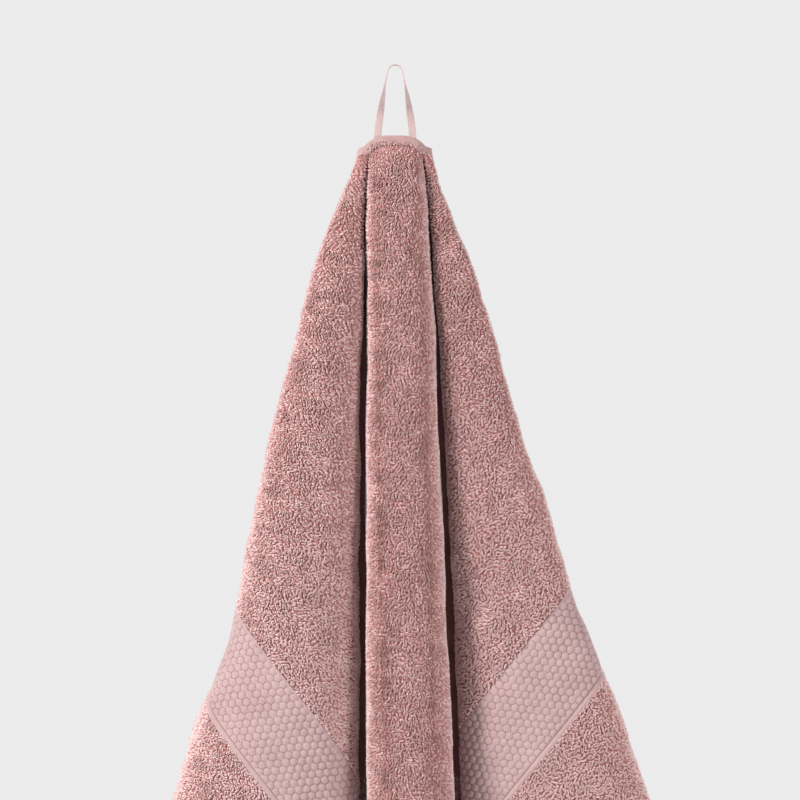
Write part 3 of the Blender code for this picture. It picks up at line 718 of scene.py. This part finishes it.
def pile_places(x_from, x_to, w_from, w_to):
    """Roots of the curls on the flat cloth: staggered rows, a little uneven."""
    x, w = np.meshgrid(np.arange(x_from, x_to, PITCH), np.arange(w_from, w_to, PITCH * 1.12))
    x = x + PITCH * 0.5 * (np.arange(x.shape[0])[:, None] % 2)
    x = x + rng.normal(0, 0.32 * PITCH, x.shape)
    w = w + rng.normal(0, 0.32 * PITCH, w.shape)
    keep = (x > x_from) & (x < x_to) & (w > w_from) & (w < w_to)
    return x[keep], w[keep]


def hangs_low(x, w):
    """The corners below the rear panels, where every fold can be seen from behind or below."""
    reach = np.hypot(np.clip(np.abs(x) - ROOT_OUT, 0, None), w)
    return (reach > 0.63) & (rng.random(len(x)) < 0.8)


def seen_front(column, x, w):
    front = column < AT["turn_out"] + 12
    wing_side = (column > AT["rim_turn"]) & (column < AT["rear_first"] + STEPS * 0.55)
    return front | wing_side | (w < 0.05) | hangs_low(x, w)


def seen_back(column, x, w):
    rear = column > AT["rear_turn"] + 4
    low = hangs_low(x, w)
    channel = (column > AT["turn_out"]) & (column < AT["hidden_turn"] - 6) & (np.abs(x) < 0.16)
    pleat_inside = (column <= AT["turn_out"]) & (w > 0.012)
    corner_inside = (column >= AT["rim_side"]) & (column <= AT["rear_turn"] + 4)
    corner_inside &= w > 0.42 - 0.5 * (np.abs(x) > 0.45)
    inside = channel | pleat_inside | corner_inside | (w > 0.52)
    return rear | low | (inside & (rng.random(len(x)) < 0.72))


def curl_places(regions):
    """Every curl's face, flat place, hung place and the cloth's directions there."""
    made = []
    for face in (1.0, -1.0):
        xs, ws = (np.concatenate([part[k] for part in regions]) for k in (0, 1))
        here, along, down, normal, column = cloth_frame(xs, ws)
        seen = seen_front(column, xs, ws) if face > 0 else seen_back(column, xs, ws)
        pick = np.nonzero(seen)[0]
        faces = np.full(len(pick), face)
        made.append((faces, xs[pick], ws[pick], here[pick], along[pick], down[pick], normal[pick]))
    return [np.concatenate([m[k] for m in made]) for k in range(7)]


# %% [markdown]
# A curl is a ridge of four cross-sections between two pointed ends. Its length, width, height,
# bend and sag all differ a little from its neighbours', and it leans with its patch. Near the
# loop, where the cloth is gathered tight and rubbed most, the curls are shorter.

# %% The shape of one curl
SECTIONS = np.array([-0.72, -0.26, 0.26, 0.72])
CORNERS = 2 + 3 * len(SECTIONS)
CURL_LENGTH, CURL_WIDTH, CURL_HIGH = (0.0026, 0.0040), (0.0014, 0.0019), 0.0014
LEAN, LEAN_PATCH, LEAN_SPREAD = 1.57, 0.42, 0.38


def patches(x, w):
    """The lie of the pile: an angle that changes slowly over the cloth."""
    a = 1.3 * np.sin(171 * x + 47 * w) + 1.1 * np.sin(-83 * x + 149 * w + 1.0)
    return a + 0.9 * np.sin(263 * x - 211 * w + 2.2)


def curl_bases(here, out, down, x, w, small, sag):
    """Where each curl stands, on the surface of the ground or of the hem."""
    thick = np.where(w < 0.0002, 0.0017, ground_thickness(x, w) / 2)
    base = here + out * (0.0004 + 0.0005 * small)[:, None] - down * sag[:, None] * 0.3
    return base + out * (thick - 0.0009)[:, None]


def curls(face, x, w, here, along, down, normal):
    count = len(x)
    away = smooth(np.abs(x), ROOT_OUT + 0.03, ROOT_OUT + 0.09)
    small = 0.55 + 0.45 * np.maximum(smooth(w, 0.0, 0.030), away)
    angle = LEAN + LEAN_PATCH * patches(x, w) + rng.normal(0, LEAN_SPREAD, count)
    length = rng.uniform(*CURL_LENGTH, count) * (0.7 + 0.3 * small)
    width = rng.uniform(*CURL_WIDTH, count) * (0.7 + 0.3 * small)
    clump = np.sin(520 * x + 3.1 * np.sin(310 * w)) * np.sin(470 * w + 2.3 * np.sin(270 * x))
    uneven = 0.0007 * (0.5 + 0.5 * clump)
    height = (CURL_HIGH + uneven + rng.uniform(0, 0.0009, count)) * small
    bend = rng.normal(0, 0.0005, count)
    sag = rng.uniform(0.0, 0.0010, count)
    out = normal * face[:, None]
    run = np.cos(angle)[:, None] * along + np.sin(angle)[:, None] * down
    over = -np.sin(angle)[:, None] * along + np.cos(angle)[:, None] * down
    base = curl_bases(here, out, down, x, w, small, sag)
    verts = np.zeros((count, CORNERS, 3))
    for end, s in ((0, -1.0), (CORNERS - 1, 1.0)):
        verts[:, end] = base + run * (s * length / 2)[:, None] + over * (bend * 0.7)[:, None]
    for k, s in enumerate(SECTIONS):
        rise = height * (1 - s * s) ** 0.45
        half = width / 2 * (1 - s**4) ** 0.5
        shift = bend * (s * s - 0.33)
        middle = base + run * (s * length / 2)[:, None] + over * shift[:, None]
        twist = 0.00025 * (-1) ** k
        tip = middle + down * (sag * (1 - s * s))[:, None]
        verts[:, 1 + 3 * k] = middle - over * half[:, None]
        verts[:, 2 + 3 * k] = tip + out * rise[:, None] + over * twist
        verts[:, 3 + 3 * k] = middle + over * half[:, None]
    return verts


def curl_faces():
    """Two triangles at each end, then four between each section and the next."""
    last = CORNERS - 1
    faces = [(0, 1, 2), (0, 2, 3), (last, last - 2, last - 3), (last, last - 1, last - 2)]
    for k in range(len(SECTIONS) - 1):
        a = 1 + 3 * k
        for m in (0, 1):
            faces += [(a + m, a + 3 + m, a + 4 + m), (a + m, a + 4 + m, a + 1 + m)]
    return np.array(faces)


# %% [markdown]
# The three shades are dealt out at random, with more deep curls beside the pleat, as painted
# shade in the folds, and more light ones towards the towel's ends and lower down, as painted
# light on the outer faces. The curls of one shade are joined into pieces of a size that is
# easy to handle.

# %% From curls to pieces of pile
PIECE_CURLS = 11500
CURL_FACES = curl_faces()


def shade_of(x, w):
    """Three masks, in the order of PILE: middle, painted light and painted shade."""
    # Painted light grows towards the ends and lower down; painted shade grows where it is low, by the
    # pleat.
    pale = smooth(np.abs(x), 0.06, 0.46) * (0.35 + 0.65 * smooth(w, 0.05, 0.45))
    chance = rng.random(len(x))
    few_deep, few_light = 0.50 * (1 - pale) ** 1.5, 0.10 + 0.65 * pale
    middle = (chance >= few_deep) & (chance < 1 - few_light)
    return [middle, chance >= 1 - few_light, chance < few_deep]


def build_pile(label, regions):
    face, x, w, *directions = curl_places(regions)
    verts = curls(face, x, w, *directions)
    objects = []
    for material, shade in zip(PILE, shade_of(x, w), strict=True):
        parts = max(1, int(shade.sum() // PIECE_CURLS + 1))
        for part, chosen in enumerate(np.array_split(np.nonzero(shade)[0], parts)):
            flip = face[chosen] < 0
            block = CURL_FACES[None] + CORNERS * np.arange(len(chosen))[:, None, None]
            block = np.where(flip[:, None, None], block[:, :, ::-1], block).reshape(-1, 3)
            # The end triangles of each curl take the foot colour: painted shade where the curl goes into
            # the cloth.
            foot = np.tile(np.arange(len(CURL_FACES)) < 4, len(chosen))
            flat = np.repeat(np.column_stack([x[chosen], w[chosen]]), CORNERS, axis=0)
            title = f"pile_{label}_{material.name.split()[-1]}_{part}"
            points = verts[chosen].reshape(-1, 3)
            objects.append(make_mesh(title, points, block, [material, FOOT_SHADE], flat, foot))
    print(f"pile {label}: {len(x)} curls in {len(objects)} pieces")
    return objects


# %% [markdown]
# The middle field gets its curls right up to the bands. Under the loop some stand on the lower
# half of the hem too, and close beside the roots each place gets them twice, because the pile
# crowds together where the cloth is gathered.

# %% Pile on the field and on both ends
field = [
    pile_places(-BAND_START - 0.0002, BAND_START + 0.0002, 0.0004, LOW - 0.001),
    pile_places(-ROOT_OUT, ROOT_OUT, -0.0048, 0.0004),
    pile_places(-ROOT_OUT - 0.05, -ROOT_OUT + 0.004, 0.0002, 0.040),
    pile_places(ROOT_OUT - 0.004, ROOT_OUT + 0.05, 0.0002, 0.040),
]
pile = {"terry_field": build_pile("field", field)}
for name, side in SIDES.items():
    ends = sorted((side["sign"] * (BAND_END - 0.0012), side["sign"] * (CLOTH_END - 0.001)))
    pile[f"end_terry_{name}"] = build_pile(name, [pile_places(*ends, 0.0012, LOW - 0.001)])

# %% [markdown]
# The loop is a narrow woven tape. It stands on edge over the hook and each leg turns a quarter
# until it lies flat on the hem, where its end is sewn down. It is built along a soft curve
# through a few points, as one piece.

# %% The tape loop
TAPE_WIDTH, TAPE_THICK = 0.0075, 0.0012
HINGE_Y = 0.0006
LOOP_REACH = [
    (0.0000, -0.0006), (0.0046, 0.0012), (0.0074, 0.0072), (0.0095, 0.0160), (0.0120, 0.0300),
    (0.0142, 0.0440), (0.0163, 0.0580), (0.0175, 0.0702), (0.0177, 0.0792),
]


def unit(v):
    return v / np.maximum(np.linalg.norm(v, axis=-1, keepdims=True), 1e-9)


def tube_faces(rows, cols):
    """Faces round and along a tube of rows rings with cols corners each."""
    i, j = np.meshgrid(np.arange(rows - 1), np.arange(cols), indexing="ij")
    a, b = (i * cols + j).ravel(), (i * cols + (j + 1) % cols).ravel()
    return np.column_stack([a, b, b + cols, a + cols])


def tape_line(count=90):
    reach, depth = np.array(LOOP_REACH).T
    run = np.concatenate([[0], np.cumsum(np.hypot(np.diff(reach), np.diff(depth)))])
    t = np.linspace(0, run[-1], count)
    out = soft_curve(t, list(zip(run, reach, strict=True)))
    down = soft_curve(t, list(zip(run, depth, strict=True)))
    share = t / run[-2]
    twist = np.pi / 2 * (1 - smooth(share, 0.15, 0.95))
    y = HINGE_Y * smooth(share, 0.1, 1.0)
    points = np.stack([np.r_[-out[:0:-1], out], np.r_[y[:0:-1], y], -np.r_[down[:0:-1], down]], axis=1)
    return points, np.r_[twist[:0:-1], twist]


# %% [markdown]
# The tape's cross-section is a flat rounded strip. The ribs of its weave are raised a tenth of
# its thickness, and change sides from one thread to the next. A bevelled curve would make the
# strip too, but not its quarter turns and ribs.

# %% The tape itself


def build_tape():
    points, turn = tape_line()
    along = unit(np.gradient(points, axis=0))
    across = np.stack([np.cos(turn), np.sin(turn), 0 * turn], axis=1)
    across = unit(across - along * (across * along).sum(1, keepdims=True))
    normal = unit(np.cross(along, across))
    run = np.concatenate([[0], np.cumsum(np.linalg.norm(np.diff(points, axis=0), axis=1))])
    ring = np.linspace(0, 2 * np.pi, 29)[:-1]
    c, s = rounded(ring, 5.0)
    verts = []
    for p, a, n, d in zip(points, across, normal, run, strict=True):
        rib = 1 + 0.10 * np.sin(9 * np.pi * c + np.pi * np.sign(s)) * np.cos(d * 2 * np.pi / 0.0017)
        verts.append(p + np.outer(c * TAPE_WIDTH / 2, a) + np.outer(s * TAPE_THICK / 2 * rib, n))
    rows, cols = len(points), len(ring)
    faces = tube_faces(rows, cols)
    flat = np.column_stack([np.repeat(run, cols), np.tile(c * TAPE_WIDTH / 2, rows)])
    caps = []
    for first in (0, (rows - 1) * cols):
        ids = first + np.arange(cols)
        for k in range(cols // 2 - 1):
            caps.append((ids[k], ids[k + 1], ids[-k - 2], ids[-k - 1]))
    thing = make_mesh("tape_loop", np.vstack(verts), np.vstack([faces, caps]), [TAPE], flat)
    return thing, points, float(run[-1])


tape, tape_path, tape_length = build_tape()
print("tape:", round(tape_length * 1000), "mm from end to end")

# %% [markdown]
# The hems are held by a row of lockstitches, about three to the centimetre, and each end of
# the tape by a bar tack: close zigzag stitches over a few millimetres. Every stitch is a short
# strand of thread, thin at its ends where it goes down into the cloth.

# %% Strands of thread


def strands(name, centres, runs, outs, length, thickness):
    """Short rounded strands of thread, as one mesh."""
    side = unit(np.cross(outs, runs))
    s = np.array([-1.0, -0.7, -0.25, 0.25, 0.7, 1.0])
    ring = np.linspace(0, 2 * np.pi, 7)[:-1]
    n = len(centres)
    verts = np.zeros((n, len(s), len(ring), 3))
    for i, v in enumerate(s):
        radius = thickness / 2 * max(0.15, (1 - v**4) ** 0.5)
        middle = centres + runs * (v * length / 2) - outs * (thickness * 0.5 * v * v)
        for j, a in enumerate(ring):
            verts[:, i, j] = middle + side * (radius * np.cos(a)) + outs * (radius * np.sin(a))
    one = tube_faces(len(s), len(ring))
    faces = (one[None] + len(s) * len(ring) * np.arange(n)[:, None, None]).reshape(-1, 4)
    points = verts.reshape(-1, 3)
    return make_mesh(name, points, faces, [THREAD], points[:, [0, 2]] * 0.4)


# %% [markdown]
# A row of stitches runs near the inner edge of each hem and shows on both faces. In the tight
# gathers beside the roots the seam disappears between the layers, so it is left out there.

# %% Rows of stitches on the hems
STITCH, STITCH_EVERY, THREAD_THICK = 0.0027, 0.0034, 0.0006
SEAM_IN, TOP_SEAM_IN = 0.0016, 0.0018


def hem_stitches(name, x, w, across=False):
    here, along, down, normal, _ = cloth_frame(x, w)
    run, off = (down if across else along), HEM_FULL / 2 + 0.0001
    both = [(here + normal * face * off, run, normal * face) for face in (1.0, -1.0)]
    parts = [np.concatenate([b[k] for b in both]) for k in range(3)]
    return strands(name, *parts, STITCH, THREAD_THICK)


stitches = {}
x = np.arange(-CLOTH_END + 0.004, CLOTH_END, STITCH_EVERY)
stitches["long_hem_bottom"] = hem_stitches("stitches_bottom", x, 0 * x + LOW + SEAM_IN)
x = x[(np.abs(x) < ROOT_OUT * 0.9) | (np.abs(x) > ROOT_OUT + 0.11)]
stitches["long_hem_top"] = hem_stitches("stitches_top", x, 0 * x - TOP_SEAM_IN)
for name, side in SIDES.items():
    w = np.arange(0.004, LOW, STITCH_EVERY)
    x = 0 * w + side["sign"] * (CLOTH_END + SEAM_IN)
    stitches[f"end_hem_{name}"] = hem_stitches(f"stitches_end_{name}", x, w, across=True)
print("rows of stitches:", len(stitches))

# %% [markdown]
# A bar tack is the strong point of the loop: fifteen close stitches that lean one way and the
# other across the end of the tape.

# %% Bar tacks
TACK_STITCHES, TACK_LEAN = 15, 0.28
TACK_LONG, TACK_THICK = 0.0034, 0.0008
TACK_X, TACK_HALF, TACK_Y, TACK_Z = 0.0175, 0.0040, 0.00225, -0.0756

tacks = {}
for name, side in SIDES.items():
    t = np.linspace(-1, 1, TACK_STITCHES)
    centre = np.column_stack([side["sign"] * TACK_X + TACK_HALF * t, TACK_Y + 0 * t, TACK_Z + 0 * t])
    lean = TACK_LEAN * np.where(np.arange(TACK_STITCHES) % 2 == 0, 1.0, -1.0)
    run = unit(np.column_stack([lean, 0 * t, 1 + 0 * t]))
    outward = np.tile((0.0, 1.0, 0.0), (TACK_STITCHES, 1))
    tacks[name] = strands(f"tack_{name}", centre, run, outward, TACK_LONG, TACK_THICK)
print("bar tacks:", len(tacks))

# %% [markdown]
# All of the cloth is on the towel's body.

# %% Joining the pieces to the frame
for node, piece in pieces.items():
    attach(piece, "towel")
    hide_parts(node)
for node, parts in pile.items():
    for part in parts:
        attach(part, "towel")
for row in stitches.values():
    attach(row, "towel")
for name, tack in tacks.items():
    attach(tack, "towel")
    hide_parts(f"bar_tack_{name}")
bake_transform(tape)
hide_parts("hanging_loop", "loop_end_left", "loop_end_right")
print("joined:", len(pieces) + sum(len(p) for p in pile.values()) + len(stitches) + len(tacks) + 1)

# %% [markdown]
# A towel is soft, and all of it hangs from the loop.

# %% [markdown]
# The light is soft. A large lamp high on the left in front rakes over the pile and gives each
# curl its own small shadow, a weaker one on the right fills the shaded sides, and a third
# lights the back.

# %% Lamps


def lamp(name, place, target, size, power):
    light = bpy.data.lights.new(name, "AREA")
    light.shape, light.size, light.energy = "DISK", size, power
    thing = bpy.data.objects.new(name, light)
    bpy.context.scene.collection.objects.link(thing)
    thing.location = place
    thing.rotation_euler = (Vector(target) - Vector(place)).to_track_quat("-Z", "Y").to_euler()


lamp("key", (-2.45, -1.35, 0.8), (0.0, 0.0, -0.50), 0.8, 164)
lamp("fill", (2.4, -1.7, 0.0), (0.0, 0.0, -0.60), 1.2, 76)
lamp("back", (0.6, 2.4, 0.6), (0.0, 0.0, -0.60), 1.6, 78)
print("lamps:", len(bpy.data.lights))

# %% [markdown]
# The room gives a faint warm light from all round. What the camera sees behind the towel is a
# plain pale grey instead, so the room can stay dim enough to keep the folds deep.

# %% The room
world = bpy.data.worlds.new("pale room")
bpy.context.scene.world = world
world.use_nodes = True
tree = world.node_tree
room = tree.nodes["Background"]
room.inputs["Color"].default_value = (1.0, 0.985, 0.975, 1.0)
room.inputs["Strength"].default_value = 0.24
paper = tree.nodes.new("ShaderNodeBackground")
paper.inputs["Color"].default_value = (0.835, 0.835, 0.835, 1.0)
choose, seen = tree.nodes.new("ShaderNodeMixShader"), tree.nodes.new("ShaderNodeLightPath")
tree.links.new(seen.outputs["Is Camera Ray"], choose.inputs["Fac"])
tree.links.new(room.outputs["Background"], choose.inputs[1])
tree.links.new(paper.outputs["Background"], choose.inputs[2])
tree.links.new(choose.outputs["Shader"], tree.nodes["World Output"].inputs["Surface"])
bpy.context.scene.view_settings.view_transform = "Standard"
print("room light:", room.inputs["Strength"].default_value)

# %% [markdown]
# A plain pale floor lies well below the towel, which hangs free of it.

# %% Floor
FLOOR_RADIUS, FLOOR_Z, FLOOR_CORNERS = 2.0, -1.30, 64
ring = np.linspace(0, 2 * np.pi, FLOOR_CORNERS + 1)[:-1]
edge = np.column_stack([FLOOR_RADIUS * np.cos(ring), FLOOR_RADIUS * np.sin(ring), 0 * ring])
disc = np.vstack([[(0, 0, 0)], edge])
disc[:, 2] = FLOOR_Z
faces = np.array([(0, 1 + k, 1 + (k + 1) % FLOOR_CORNERS) for k in range(FLOOR_CORNERS)])
pale = bpy.data.materials.new("pale floor")
pale.use_nodes = True
shader = pale.node_tree.nodes["Principled BSDF"]
shader.inputs["Base Color"].default_value = (0.74, 0.74, 0.735, 1.0)
shader.inputs["Roughness"].default_value = 0.7
floor = make_mesh("floor", disc, faces, [pale], disc[:, :2])
print("floor at", FLOOR_Z, "m")

# %% [markdown]
# The camera looks straight and level at the upper part of the towel from a few metres away,
# through a long lens, so that the folds keep their true widths. The lens is worked out from
# the width that has to fit into the picture at the front of the pleat.

# %% Camera
VIEW_WIDTH, DISTANCE, PLEAT_NEARER, SENSOR = 0.800, 3.2, 0.03, 36.0
lens = bpy.data.cameras.new("camera")
lens.sensor_width = SENSOR
lens.lens = SENSOR * (DISTANCE - PLEAT_NEARER) / VIEW_WIDTH
camera = bpy.data.objects.new("camera", lens)
bpy.context.scene.collection.objects.link(camera)
camera.location = (0.005, -DISTANCE, -0.338)
camera.rotation_euler = (np.pi / 2, 0.0, 0.0)
bpy.context.scene.camera = camera
print("lens:", round(lens.lens, 1), "mm")

# %% [markdown]
# The finished towel has to fit the measured frame.

bpy.context.view_layer.update()
